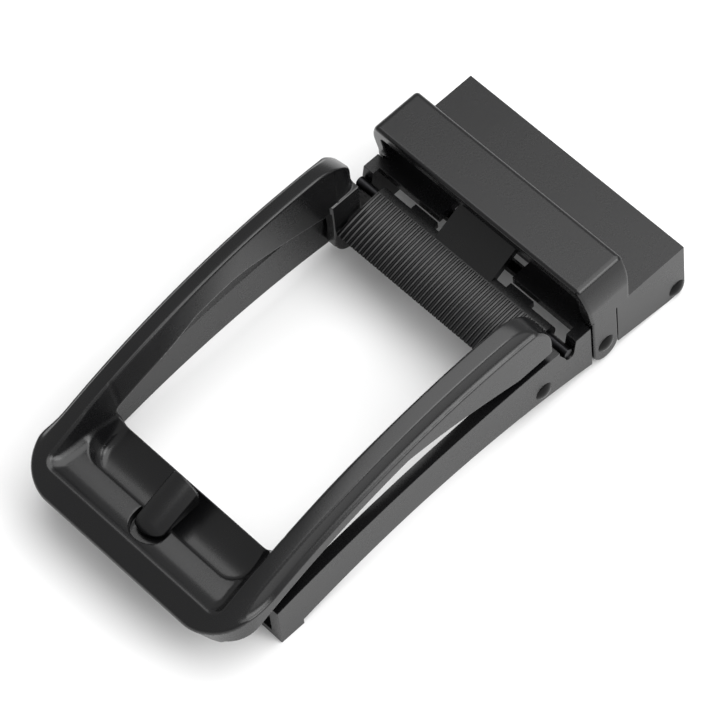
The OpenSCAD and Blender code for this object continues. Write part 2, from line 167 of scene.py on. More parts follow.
@dataclass
class Tree:
    """Builds one node tree, a node at a time."""

    tree: bpy.types.NodeTree

    def node(
        self,
        kind: str,
        settings: dict[str, str] | None = None,
        **values: Sock | float | tuple[float, ...],
    ) -> bpy.types.Node:
        """Adds any node.

        Args:
            kind: The node's type, without its ShaderNode prefix.
            settings: Properties that are set before the sockets, such as a Mix node's data type.
            values: Socket names, with underscores for spaces, and their numbers, colours or Socks.

        Returns:
            The new node.
        """
        node = self.tree.nodes.new(f"ShaderNode{kind}")
        for name, value in (settings or {}).items():
            setattr(node, name, value)
        for name, value in values.items():
            socket = node.inputs[name.replace("_", " ")]
            if isinstance(value, Sock):
                self.tree.links.new(value.socket, socket)
            else:
                socket.default_value = value
        return node

    def blend(self, share: Sock, low: Color, high: Color) -> Sock:
        """Mixes two colours.

        Args:
            share: How much of the second colour there is, from 0 to 1.
            low: The colour where the share is 0.
            high: The colour where it is 1.

        Returns:
            The mixed colour.
        """
        mixed = self.node("Mix", {"data_type": "RGBA"})
        sockets = {socket.identifier: socket for socket in mixed.inputs}
        self.tree.links.new(share.socket, sockets["Factor_Float"])
        sockets["A_Color"].default_value = (*low, 1.0)
        sockets["B_Color"].default_value = (*high, 1.0)
        result = next(socket for socket in mixed.outputs if socket.identifier == "Result_Color")
        return Sock(self.tree, result)

    def out(self, node: bpy.types.Node, name: str | int = 0) -> Sock:
        """Wraps one of a node's outputs."""
        return Sock(self.tree, node.outputs[name])


@dataclass(frozen=True)
class Satin:
    """A satin finish with a fine cast grain and faint cloudy changes of sheen."""

    name: str
    color: Color
    roughness: float
    metallic: float = 0.0
    specular: float = 0.4
    tone_spread: float = 0.25
    grain_size: float = 0.35
    grain_depth: float = 0.012
    grain_detail: float = 2.0
    grain_sheen: float = 0.04
    bump_strength: float = 0.35
    cloud_size: float = 9.0
    cloud_detail: float = 3.0
    cloud_sheen: float = 0.1

    def material(self) -> bpy.types.Material:
        """Builds the procedural material.

        Returns:
            The material, with its colour, roughness and bump driven by noise on Object coordinates.
        """
        made = bpy.data.materials.new(self.name)
        made.use_nodes = True
        made.node_tree.nodes.clear()
        tree = Tree(made.node_tree)
        place = tree.out(tree.node("TexCoord"), "Object")
        cloud = self._noise(tree, place, self.cloud_size, self.cloud_detail)
        grain = self._noise(tree, place, self.grain_size, self.grain_detail)
        dark = tuple((1 - self.tone_spread) * part for part in self.color)
        light = tuple((1 + self.tone_spread) * part for part in self.color)
        bump = tree.node(
            "Bump",
            Strength=self.bump_strength,
            Distance=self.grain_depth * MM,
            Height=grain,
        )
        sheen = (cloud - 0.5) * self.cloud_sheen + (grain - 0.5) * self.grain_sheen
        shader = tree.node(
            "BsdfPrincipled",
            Base_Color=tree.blend(cloud, dark, light),
            Roughness=sheen + self.roughness,
            Metallic=self.metallic,
            Specular_IOR_Level=self.specular,
            Normal=tree.out(bump),
        )
        tree.node("OutputMaterial", Surface=tree.out(shader))
        return made

    @staticmethod
    def _noise(tree: Tree, place: Sock, size: float, detail: float) -> Sock:
        """Adds a noise whose grains are that many millimetres wide."""
        return tree.out(tree.node("TexNoise", Vector=place, Scale=1.0 / (size * MM), Detail=detail))


@dataclass(frozen=True)
class Finishes:
    """The buckle's finishes, each built once."""

    lacquer: bpy.types.Material
    steel: bpy.types.Material
    rivet: bpy.types.Material
    wire: bpy.types.Material

    @classmethod
    def build(cls) -> Finishes:
        """Builds all the finishes.

        Returns:
            The set of materials.
        """
        return cls(
            lacquer=Satin("satin_black_lacquer", (0.003, 0.003, 0.0033), 0.27).material(),
            steel=Satin("black_plated_steel", (0.003, 0.003, 0.0033), 0.27, grain_size=0.5).material(),
            rivet=Satin("blackened_rivet", (0.002, 0.002, 0.002), 0.2, specular=0.12).material(),
            wire=Satin("plain_wire", (0.03, 0.03, 0.032), 0.36, metallic=1.0, grain_size=0.2).material(),
        )


# Sculpting: a piece is a field, negative inside the metal, that a net of quads is drawn over


def keep(first: np.ndarray, second: np.ndarray, radius: float) -> np.ndarray:
    """Keeps what is inside both fields and rounds the edge between them.

    Args:
        first: One field's values.
        second: The other field's values.
        radius: Radius of the rounded edge.

    Returns:
        The joint field's values.
    """
    corner = np.hypot(np.maximum(first + radius, 0), np.maximum(second + radius, 0))
    return np.minimum(np.maximum(first, second), -radius) + corner


def join(first: np.ndarray, second: np.ndarray, radius: float) -> np.ndarray:
    """Joins two fields with a fillet of that radius."""
    return -keep(-first, -second, radius)


def carve(solid: np.ndarray, hollow: np.ndarray, radius: float) -> np.ndarray:
    """Cuts a hollow out of a solid and rounds the hollow's rim."""
    return keep(solid, -hollow, radius)


def ease(low: float, high: float, value: np.ndarray) -> np.ndarray:
    """Rises smoothly from 0 at low to 1 at high; low may be the larger."""
    share = np.clip((value - low) / (high - low), 0, 1)
    return share * share * (3 - 2 * share)


@dataclass
class Net:
    """Draws a net of quads over a field's zero surface inside a box."""

    low: tuple[float, float, float]
    high: tuple[float, float, float]
    step: float
    probe: float = 0.05
    rounds: int = 4
    stride: float = 0.4
    flattest: float = 0.05

    def draw(self, solid: Field) -> tuple[np.ndarray, np.ndarray]:
        """Samples the field and draws the net.

        Args:
            solid: The field, of distance forward, place across and height.

        Returns:
            The net's points and its quads.
        """
        low = np.array(self.low)
        counts = np.ceil((np.array(self.high) - low) / self.step).astype(int) + 1
        across, up = np.meshgrid(
            low[1] + self.step * np.arange(counts[1]),
            low[2] + self.step * np.arange(counts[2]),
            indexing="ij",
        )
        values = np.stack(
            [solid(np.full_like(across, low[0] + self.step * i), across, up) for i in range(counts[0])]
        )
        cells, numbers = self._cells(values < 0)
        points = low + self.step * (cells + self._crossings(values, cells))
        return self._settle(solid, points), self._quads(values < 0, numbers)

    @staticmethod
    def _cells(inside: np.ndarray) -> tuple[np.ndarray, np.ndarray]:
        """Finds the cells that the surface passes through.

        Args:
            inside: Which grid points are in the metal.

        Returns:
            The cells' places and a grid of their numbers, -1 where there is none.
        """
        shape = tuple(n - 1 for n in inside.shape)
        corners = np.zeros(shape, np.int8)
        for i, j, k in np.ndindex(2, 2, 2):
            corners += inside[i : i + shape[0], j : j + shape[1], k : k + shape[2]]
        mixed = (corners > 0) & (corners < 8)
        numbers = np.full(shape, -1, np.int64)
        numbers[mixed] = np.arange(mixed.sum())
        return np.argwhere(mixed), numbers

    @staticmethod
    def _crossings(values: np.ndarray, cells: np.ndarray) -> np.ndarray:
        """Averages where the surface crosses each cell's edges.

        Args:
            values: The field on the grid.
            cells: The cells' places.

        Returns:
            A place inside each cell, from 0 to 1 each way.
        """
        total = np.zeros(cells.shape)
        hits = np.zeros(len(cells))
        for axis in range(3):
            for i, j in np.ndindex(2, 2):
                start = np.insert(np.array([i, j]), axis, 0)
                stop = np.insert(np.array([i, j]), axis, 1)
                a = values[tuple((cells + start).T)]
                b = values[tuple((cells + stop).T)]
                crossed = (a < 0) != (b < 0)
                share = np.where(crossed, a / np.where(crossed, a - b, 1), 0)
                total += crossed[:, None] * (start + share[:, None] * (stop - start))
                hits += crossed
        return total / hits[:, None]

    @staticmethod
    def _quads(inside: np.ndarray, numbers: np.ndarray) -> np.ndarray:
        """Joins the four cells round each grid edge that the surface crosses.

        Args:
            inside: Which grid points are in the metal.
            numbers: The cells' numbers.

        Returns:
            The quads, with their faces outwards.
        """
        quads = []
        for axis in range(3):
            u, v = (axis + 1) % 3, (axis + 2) % 3
            step = np.eye(3, dtype=int)
            first = np.moveaxis(inside, axis, 0)[:-1]
            last = np.moveaxis(inside, axis, 0)[1:]
            edges = np.argwhere(np.moveaxis(first != last, 0, axis))
            outward = inside[tuple(edges.T)]
            ring = [edges - step[u] - step[v], edges - step[v], edges, edges - step[u]]
            quad = np.stack([numbers[tuple(cell.T)] for cell in ring], axis=1)
            quad[~outward] = quad[~outward][:, ::-1]
            quads.append(quad)
        return np.concatenate(quads)

    def _slope(self, solid: Field, points: np.ndarray) -> np.ndarray:
        """Measures how the field climbs at some points.

        Args:
            solid: The field.
            points: The points.

        Returns:
            The field's slope in each direction.
        """
        reach = self.probe * self.step
        return np.stack(
            [
                (solid(*(points + reach * side).T) - solid(*(points - reach * side).T)) / (2 * reach)
                for side in np.eye(3)
            ],
            axis=1,
        )

    def normals(self, solid: Field, points: np.ndarray) -> np.ndarray:
        """Gives the surface's normals in the frame, where X runs against the distance forward.

        Args:
            solid: The field.
            points: Points on the surface.

        Returns:
            Unit normals.
        """
        slope = self._slope(solid, points) * (-1, 1, 1)
        return slope / np.maximum(np.linalg.norm(slope, axis=1, keepdims=True), 1e-9)

    def _settle(self, solid: Field, points: np.ndarray) -> np.ndarray:
        """Moves the points onto the surface itself.

        Args:
            solid: The field.
            points: Points near the surface.

        Returns:
            The settled points.
        """
        longest = self.stride * self.step
        for _ in range(self.rounds):
            slope = self._slope(solid, points)
            value = solid(*points.T)
            size = np.maximum((slope**2).sum(axis=1), self.flattest)
            move = (value / size)[:, None] * slope
            points = points - np.clip(move, -longest, longest)
        return points


@dataclass
class Bench:
    """What every sub-assembly needs: the frame, the finishes and how edges are rounded."""

    frame: dict
    finishes: Finishes
    total_l: float
    merge_gap: float = 0.002
    flat_angle: float = 0.2
    sharp_angle: float = 25.0
    edge_segments: int = 3
    face_weight: int = 60

    def to_metres(self, points: np.ndarray) -> np.ndarray:
        """Turns (forward, across, up) in millimetres into the frame's metres."""
        return np.stack([self.total_l / 2 - points[:, 0], points[:, 1], points[:, 2]], axis=1) * MM

    def piece(self, name: str, mesh: bpy.types.Mesh, material: bpy.types.Material) -> bpy.types.Object:
        """Makes an object of a finished mesh.

        Args:
            name: The piece's name.
            mesh: Its mesh, already in place.
            material: Its finish.

        Returns:
            The new object.
        """
        mesh.materials.clear()
        mesh.materials.append(material)
        made = bpy.data.objects.new(name, mesh)
        bpy.context.scene.collection.objects.link(made)
        return made

    def sculpt(
        self,
        name: str,
        net: Net,
        solid: Field,
        material: bpy.types.Material,
    ) -> bpy.types.Object:
        """Makes a smooth piece from a field.

        Args:
            name: The piece's name.
            net: The box and step to sample.
            solid: The field.
            material: Its finish.

        Returns:
            The new object.
        """
        points, quads = net.draw(solid)
        mesh = bpy.data.meshes.new(name)
        # Distances forward run against X, so the quads are turned over
        mesh.from_pydata(self.to_metres(points).tolist(), [], quads[:, ::-1].tolist())
        mesh.shade_smooth()
        mesh.normals_split_custom_set_from_vertices(net.normals(solid, points).tolist())
        LOG.info("%s: %d quads", name, len(mesh.polygons))
        return self.piece(name, mesh, material)

    def rounded_copy(self, node: str, edge: float, material: bpy.types.Material) -> bpy.types.Object:
        """Copies a node's mesh and rounds its edges.

        Args:
            node: The node's name.
            edge: Radius of the rounded edges, in millimetres.
            material: The piece's finish.

        Returns:
            The new object.
        """
        mesh = self.frame["nodes"][node].data.copy()
        work = bmesh.new()
        work.from_mesh(mesh)
        bmesh.ops.remove_doubles(work, verts=work.verts, dist=self.merge_gap * MM)
        bmesh.ops.dissolve_limit(
            work, angle_limit=math.radians(self.flat_angle), verts=work.verts, edges=work.edges
        )
        work.to_mesh(mesh)
        work.free()
        mesh.shade_smooth()
        made = self.piece(f"{node}_dressed", mesh, material)
        bevel = made.modifiers.new("edges", "BEVEL")
        bevel.width = edge * MM
        bevel.segments = self.edge_segments
        bevel.limit_method = "ANGLE"
        bevel.angle_limit = math.radians(self.sharp_angle)
        bevel.use_clamp_overlap = True
        flat = made.modifiers.new("flat_faces", "WEIGHTED_NORMAL")
        flat.weight = self.face_weight
        flat.keep_sharp = False
        return self.bake(made)

    @staticmethod
    def bake(made: bpy.types.Object) -> bpy.types.Object:
        """Applies an object's modifiers.

        Args:
            made: The object.

        Returns:
            The same object, with a plain mesh.
        """
        graph = bpy.context.evaluated_depsgraph_get()
        baked = bpy.data.meshes.new_from_object(made.evaluated_get(graph))
        made.modifiers.clear()
        made.data = baked
        return made

    @staticmethod
    def seat(made: bpy.types.Object, body: Body, slot: Slot, *nodes: str) -> None:
        """Seats a piece on its body in place of its nodes.

        Args:
            made: The piece.
            body: The body that it rides on.
            slot: The record's slot that its finish belongs to; it is not used.
            nodes: The nodes that it stands for.
        """
        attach(made, body.value)
        if nodes:
            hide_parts(*nodes)
        LOG.info("%s rides on %s", made.name, body.value)


@dataclass(frozen=True)
class Arch:
    """The arched surface that the front frame, its rim and the prong follow."""

    crown_d: float = 34.5
    crown_h: float = 22.0
    radius: float = 108.0

    def height(self, d: np.ndarray) -> np.ndarray:
        """Height of the surface at a distance forward."""
        return self.crown_h - self.radius + np.sqrt(self.radius**2 - (d - self.crown_d) ** 2)

    def above(self, d: np.ndarray, z: np.ndarray) -> np.ndarray:
        """Distance above the surface."""
        return np.hypot(d - self.crown_d, z - self.crown_h + self.radius) - self.radius


@dataclass
class FrontFrame:
    """The arched casting: two fluted arms, a wide front bar with its ledge and trough, and the lugs."""

    bench: Bench
    arch: Arch
    step: float = 0.213
    quick_step: float = 0.5
    margin: float = 0.6
    # Outline, rim and top
    out_w: float = 40.0
    corner_r: float = 7.0
    rim_depth: float = 3.8
    crown: float = 0.045
    crown_y: float = 15.8
    edge_r: float = 0.32
    under_r: float = 0.45
    toe_lean: float = 0.45
    toe_top: float = 0.5
    # The arms' rear ends and their deep roots
    arm_end_d: float = 24.0
    arm_end_r: float = 7.2
    end_outer_r: float = 0.8
    end_inner_r: float = 2.9
    end_inner_d: float = 28.0
    end_inner_fade: float = 3.0
    root_depth: float = 9.8
    root_flat: float = 6.4
    root_l: float = 30.4
    root_margin: float = 2.0
    # The window and the arms' inner walls
    window_d: float = 69.5
    window_half: float = 16.35
    window_r: float = 0.7
    draft: float = 0.41
    draft_from: float = 44.0
    draft_to: float = 62.0
    draft_depth: float = 6.0
    # The front bar with its ledge and trough
    bar_half: float = 17.6
    bar_foot: float = 6.03
    bar_rise: float = 1.0
    bar_foot_r: float = 0.5
    bar_fillet: float = 0.4
    rim_in_d: float = 81.3
    rim_slope: float = 0.6
    rim_slope_depth: float = 4.0
    ledge_z: float = 10.7
    ledge_sag: float = 0.16
    ledge_mid_d: float = 78.8
    ledge_half: float = 2.6
    ledge_corner: float = 1.5
    ledge_curl: float = 1.1
    ledge_edge_r: float = 0.45
    lip_d: float = 76.4
    trough_d: float = 75.0
    trough_z: float = 15.2
    trough_r: float = 7.3
    trough_corner: float = 3.5
    trough_floor_r: float = 1.2
    # The flutes
    flute_w: float = 1.35
    flute_h: float = 2.3
    flute_power: float = 2.2
    flute_end_d: float = 84.5
    flute_full_d: float = 74.0
    flute_edge_r: float = 0.22
    # The eyes on the hinge pin
    lug_d: float = 26.4
    lug_z: float = 4.9
    lug_r: float = 3.0
    lug_in: float = 16.1
    lug_t: float = 1.8
    lug_edge_r: float = 0.25
    lug_fillet: float = 0.3
    neck_d: float = 26.9
    neck_half: float = 2.5
    neck_z: float = 9.3
    neck_half_h: float = 4.4
    neck_fillet: float = 0.8
    bore_r: float = 0.95
    bore_edge_r: float = 0.1
    # The notch round the prong's tip
    notch_d: float = 77.6
    notch_r: float = 2.85
    notch_z: float = 9.1
    notch_edge_r: float = 0.12

    def outline(self, d: np.ndarray, a: np.ndarray) -> np.ndarray:
        """Distance outside the outline seen from above, for a distance a from the middle."""
        return keep(a - self.out_w / 2, d - self.bench.total_l, self.corner_r)

    def blank(self, d: np.ndarray, a: np.ndarray, z: np.ndarray) -> np.ndarray:
        """The casting before its window, pockets and flutes are cut.

        Args:
            d: Distance forward.
            a: Distance from the middle.
            z: Height.

        Returns:
            The field's values.
        """
        top = self.arch.above(d, z) + self.crown * np.maximum(a - self.crown_y, 0) ** 2
        inner = self.window_half - a - self.end_inner_fade * np.maximum(d - self.end_inner_d, 0)
        ends = np.maximum(
            keep(self.outline(d, a), self.arm_end_d - d, self.end_outer_r),
            keep(inner, self.arm_end_d - d, self.end_inner_r),
        )
        sides = ends + self.toe(d, a, top)
        skin = keep(keep(top, self.arm_end_d - d, self.arm_end_r), sides, self.edge_r)
        far_d = self.arm_end_d + self.root_l
        root_z = self.arch.crown_h - self.root_depth
        rise = float(self.arch.height(np.array(far_d))) - self.rim_depth - root_z
        share = np.clip((d - self.arm_end_d - self.root_flat) / (self.root_l - self.root_flat), 0, 1)
        under = root_z + rise * np.sin(share * math.pi / 2)
        root = np.maximum(under - z, self.lug_in - self.root_margin - a)
        behind = (self.bench.total_l - d) / (self.bench.total_l - self.window_d)
        foot = self.bar_foot + self.bar_rise * behind
        bar = np.maximum(keep(foot - z, a - self.bar_half, self.bar_foot_r), self.window_d - d)
        flesh = join(np.minimum(-top - self.rim_depth, root), bar, self.bar_fillet)
        return keep(skin, flesh, self.under_r)

    def toe(self, d: np.ndarray, a: np.ndarray, top: np.ndarray) -> np.ndarray:
        """How far the front face leans back under the rim, fading out round the corners.

        Args:
            d: Distance forward.
            a: Distance from the middle.
            top: Height above the arched surface.

        Returns:
            What is added to the outline's distance.
        """
        ahead = np.maximum(d - self.bench.total_l + self.corner_r, 0) ** 2
        beside = np.maximum(a - self.out_w / 2 + self.corner_r, 0) ** 2
        share = ahead / (ahead + beside + 0.01)
        return self.toe_lean * np.maximum(-top - self.toe_top, 0) * share

    def wall(self, d: np.ndarray, a: np.ndarray, z: np.ndarray) -> np.ndarray:
        """Distance outside the arms' inner walls, which lean in towards the front bar.

        Args:
            d: Distance forward.
            a: Distance from the middle.
            z: Height.

        Returns:
            The distance.
        """
        below = np.clip(self.arch.height(d) - z, 0, self.draft_depth)
        lean = self.draft * ease(self.draft_from, self.draft_to, d)
        return a - self.window_half + lean * below

    def window(self, d: np.ndarray, a: np.ndarray, z: np.ndarray) -> np.ndarray:
        """The window between the arms.

        Args:
            d: Distance forward.
            a: Distance from the middle.
            z: Height.

        Returns:
            The hollow's field.
        """
        return keep(self.wall(d, a, z), d - self.window_d, self.window_r)

    def ledge(self, d: np.ndarray, a: np.ndarray, z: np.ndarray) -> np.ndarray:
        """The shallow ledge inside the rim, which curls up at the arms.

        Args:
            d: Distance forward.
            a: Distance from the middle.
            z: Height.

        Returns:
            The hollow's field.
        """
        sag = self.ledge_sag * np.maximum(1 - ((d - self.ledge_mid_d) / self.ledge_half) ** 2, -1)
        below = np.clip(self.arch.height(d) - z, 0, self.rim_slope_depth)
        rim = d - self.rim_in_d + self.rim_slope * below
        plan = keep(rim, self.wall(d, a, z), self.ledge_corner)
        return keep(plan, self.ledge_z - sag - z, self.ledge_curl)

    def trough(self, d: np.ndarray, a: np.ndarray, z: np.ndarray) -> np.ndarray:
        """The hollow trough between the ledge's lip and the window's sill.

        Args:
            d: Distance forward.
            a: Distance from the middle.
            z: Height.

        Returns:
            The hollow's field.
        """
        scoop = np.hypot(d - self.trough_d, np.minimum(z - self.trough_z, 0)) - self.trough_r
        plan = keep(d - self.lip_d, self.wall(d, a, z), self.trough_corner)
        return keep(scoop, plan, self.trough_floor_r)

    def flute(self, d: np.ndarray, a: np.ndarray, z: np.ndarray) -> np.ndarray:
        """The cove outside each arm's flat band, which fades out at the front corner.

        Args:
            d: Distance forward.
            a: Distance from the middle.
            z: Height.

        Returns:
            The hollow's field.
        """
        share = np.maximum(-self.outline(d, a), 0) / self.flute_w
        # Where the cove has faded out, it runs 1 mm above the arched surface and cuts nothing
        fade = ease(self.flute_end_d, self.flute_full_d, d)
        drop = fade * (self.flute_h * (1 - share**self.flute_power) + 1) - 1
        steep = fade * self.flute_h * self.flute_power / self.flute_w * share ** (self.flute_power - 1)
        return -(self.arch.above(d, z) + drop) / np.sqrt(1 + steep**2)

    def lugs(self, d: np.ndarray, a: np.ndarray, z: np.ndarray) -> np.ndarray:
        """The two eyes on the hinge pin.

        Args:
            d: Distance forward.
            a: Distance from the middle.
            z: Height.

        Returns:
            The solid's field.
        """
        eye = np.hypot(d - self.lug_d, z - self.lug_z) - self.lug_r
        neck = np.maximum(
            np.abs(d - self.neck_d) - self.neck_half, np.abs(z - self.neck_z) - self.neck_half_h
        )
        plate = np.abs(a - self.lug_in - self.lug_t / 2) - self.lug_t / 2
        return keep(join(eye, neck, self.neck_fillet), plate, self.lug_edge_r)

    def solid(self, d: np.ndarray, y: np.ndarray, z: np.ndarray) -> np.ndarray:
        """The whole casting.

        Args:
            d: Distance forward.
            y: Place across.
            z: Height.

        Returns:
            The field's values.
        """
        a = np.abs(y)
        metal = carve(self.blank(d, a, z), self.flute(d, a, z), self.flute_edge_r)
        metal = carve(metal, self.ledge(d, a, z), self.ledge_edge_r)
        metal = carve(metal, self.trough(d, a, z), self.edge_r)
        metal = carve(metal, self.window(d, a, z), self.edge_r)
        metal = join(metal, self.lugs(d, a, z), self.lug_fillet)
        notch = np.maximum(np.hypot(d - self.notch_d, y) - self.notch_r, self.notch_z - z)
        metal = carve(metal, notch, self.notch_edge_r)
        bore = np.hypot(d - self.lug_d, z - self.lug_z) - self.bore_r
        return carve(metal, bore, self.bore_edge_r)

    def build(self) -> None:
        """Builds the casting in place of its node."""
        half = self.out_w / 2 + self.margin
        net = Net(
            (self.lug_d - self.lug_r - self.margin, -half, self.lug_z - self.lug_r - self.margin),
            (self.bench.total_l + self.margin, half, self.arch.crown_h + self.margin),
            self.step,
        )
        made = self.bench.sculpt("front_casting", net, self.solid, self.bench.finishes.lacquer)
        self.bench.seat(made, Body.FRONT, Slot.CASTING, "front_frame")


@dataclass
class Prong:
    """The short prong over the trough, round at its tip, with a domed top."""

    bench: Bench
    arch: Arch
    step: float = 0.12
    quick_step: float = 0.3
    margin: float = 0.5
    tip_d: float = 77.6
    rear_d: float = 70.9
    width: float = 4.6
    box_top_z: float = 16.0
    # The domed top, whose ridge stands a little to one side
    drop: float = 1.55
    ridge_y: float = 0.5
    side_fall: float = 0.16
    tip_fall: float = 0.25
    top_scale: float = 0.92
    top_r: float = 0.22
    # The foot, which slopes down from the window's sill to the ledge's lip
    seat_z: float = 10.0
    lip_d: float = 76.4
    sill_d: float = 69.5
    sill_z: float = 10.5
    rear_r: float = 0.35
    foot_r: float = 0.2

    def solid(self, d: np.ndarray, y: np.ndarray, z: np.ndarray) -> np.ndarray:
        """The prong's field.

        Args:
            d: Distance forward.
            y: Place across.
            z: Height.

        Returns:
            The field's values.
        """
        half = self.width / 2
        ahead = np.maximum(d - self.tip_d, 0)
        plan = np.hypot(ahead, y) - half
        dome = self.side_fall * (y - self.ridge_y) ** 2 + self.tip_fall * ahead**2
        top = (self.arch.above(d, z) + self.drop + dome) * self.top_scale
        slope = (self.sill_z - self.seat_z) / (self.lip_d - self.sill_d)
        under = np.clip(self.seat_z + slope * (self.lip_d - d), self.seat_z, self.sill_z) - z
        body = keep(keep(plan, self.rear_d - d, self.rear_r), under, self.foot_r)
        return keep(body, top, self.top_r)

    def build(self) -> None:
        """Builds the prong in place of its node."""
        half = self.width / 2 + self.margin
        net = Net(
            (self.rear_d - self.margin, -half, self.seat_z - self.margin),
            (self.tip_d + half, half, self.box_top_z),
            self.step,
        )
        made = self.bench.sculpt("prong_sculpted", net, self.solid, self.bench.finishes.lacquer)
        self.bench.seat(made, Body.FRONT, Slot.CASTING, "prong")


@dataclass
class KeeperLoop:
    """The raised loop over the deck, with bevelled ends and a leg down each side."""

    bench: Bench
    step: float = 0.2
    quick_step: float = 0.4
    margin: float = 0.5
    # The bridge from the side: its heel, its leaning front and its top
    heel_d: float = 10.3
    brow_d: float = 18.5
    foot_d: float = 17.25
    deck_z: float = 10.0
    top_z: float = 18.6
    brow_z: float = 18.12
    heel_r: float = 0.8
    brow_r: float = 0.6
    # The bridge from the front: its bevelled ends and the strap's way under it
    outer_half: float = 20.2
    crease_y: float = 18.9
    crease_fall: float = 2.6
    crease_run: float = 1.1
    crease_r: float = 0.8
    end_r: float = 0.5
    inner_half: float = 18.2
    under_z: float = 16.2
    way_r: float = 0.8
    way_edge_r: float = 0.25
    # The legs
    leg_d: float = 15.05
    leg_r: float = 2.2
    leg_z: float = 2.7
    leg_t: float = 1.2
    leg_lap: float = 1.0
    leg_edge_r: float = 0.22
    foot_r: float = 0.1

    def solid(self, d: np.ndarray, y: np.ndarray, z: np.ndarray) -> np.ndarray:
        """The loop's field.

        Args:
            d: Distance forward.
            y: Place across.
            z: Height.

        Returns:
            The field's values.
        """
        a = np.abs(y)
        rise, run = self.brow_z - self.deck_z, self.brow_d - self.foot_d
        front = ((d - self.brow_d) * rise - (z - self.brow_z) * run) / math.hypot(rise, run)
        fall = math.hypot(self.crease_fall, self.crease_run)
        crease = ((a - self.crease_y) * self.crease_fall + (z - self.top_z) * self.crease_run) / fall
        side = keep(keep(self.heel_d - d, z - self.top_z, self.heel_r), front, self.brow_r)
        ends = keep(keep(a - self.outer_half, crease, self.crease_r), self.deck_z - z, self.foot_r)
        way = keep(a - self.inner_half, z - self.under_z, self.way_r)
        bridge = carve(keep(side, ends, self.end_r), way, self.way_edge_r)
        leg = np.hypot(d - self.leg_d, np.minimum(z - self.leg_z, 0)) - self.leg_r
        plate = np.abs(a - self.outer_half + self.leg_t / 2) - self.leg_t / 2
        leg = keep(keep(leg, z - self.deck_z - self.leg_lap, self.foot_r), plate, self.leg_edge_r)
        return np.minimum(bridge, leg)

    def build(self) -> None:
        """Builds the loop in place of its node."""
        half = self.outer_half + self.margin
        net = Net(
            (self.heel_d - self.margin, -half, self.leg_z - self.leg_r - self.margin),
            (self.brow_d + self.margin, half, self.top_z + self.margin),
            self.step,
        )
        made = self.bench.sculpt("loop_casting", net, self.solid, self.bench.finishes.lacquer)
        self.bench.seat(made, Body.BASE, Slot.CASTING, "keeper_loop")


@dataclass
class BaseFrame:
    """The lower casting: the cheeks, the deck and the cross bar, with softened edges."""

    bench: Bench
    edge_r: float = 0.36

    def build(self) -> None:
        """Builds the lower casting in place of its node."""
        made = self.bench.rounded_copy("base_frame", self.edge_r, self.bench.finishes.lacquer)
        self.bench.seat(made, Body.BASE, Slot.CASTING, "base_frame")


